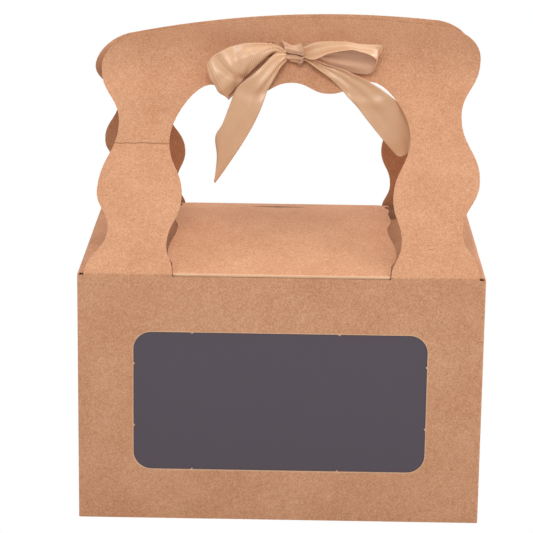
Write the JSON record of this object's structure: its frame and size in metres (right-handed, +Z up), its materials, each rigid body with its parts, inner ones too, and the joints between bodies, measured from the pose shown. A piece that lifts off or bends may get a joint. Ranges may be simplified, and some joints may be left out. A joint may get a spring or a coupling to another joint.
{
  "type": "windowed gift box",
  "caption": "Folded kraft card gift box with a film window, an arched tuck lid and two wavy gable handles tied together with a satin ribbon bow.",
  "frame": {"origin": "middle of the base, on the surface the box stands on", "axes": "+Z up, the window faces -Y, +X to the right of someone who looks at the window"},
  "size_m": [0.16, 0.117, 0.1957],
  "materials": {
    "kraft_card": "matte uncoated kraft board with visible fibres",
    "window_film": "clear glossy film, dark against the empty box",
    "satin_ribbon": "woven satin with a soft sheen"
  },
  "bodies": {
    "box": {"carton": "kraft_card", "window_film": "window_film", "ribbon": "satin_ribbon"},
    "lid": {"lid_flap": "kraft_card"}
  },
  "joints": [
    {"name": "lid_crease", "type": "hinge", "parent": "box", "child": "lid", "pos_m": [0, -0.05825, 0.10115], "axis": [1, 0, 0], "range_deg": [0, 28], "deforming": ["ribbon"]}
  ]
}
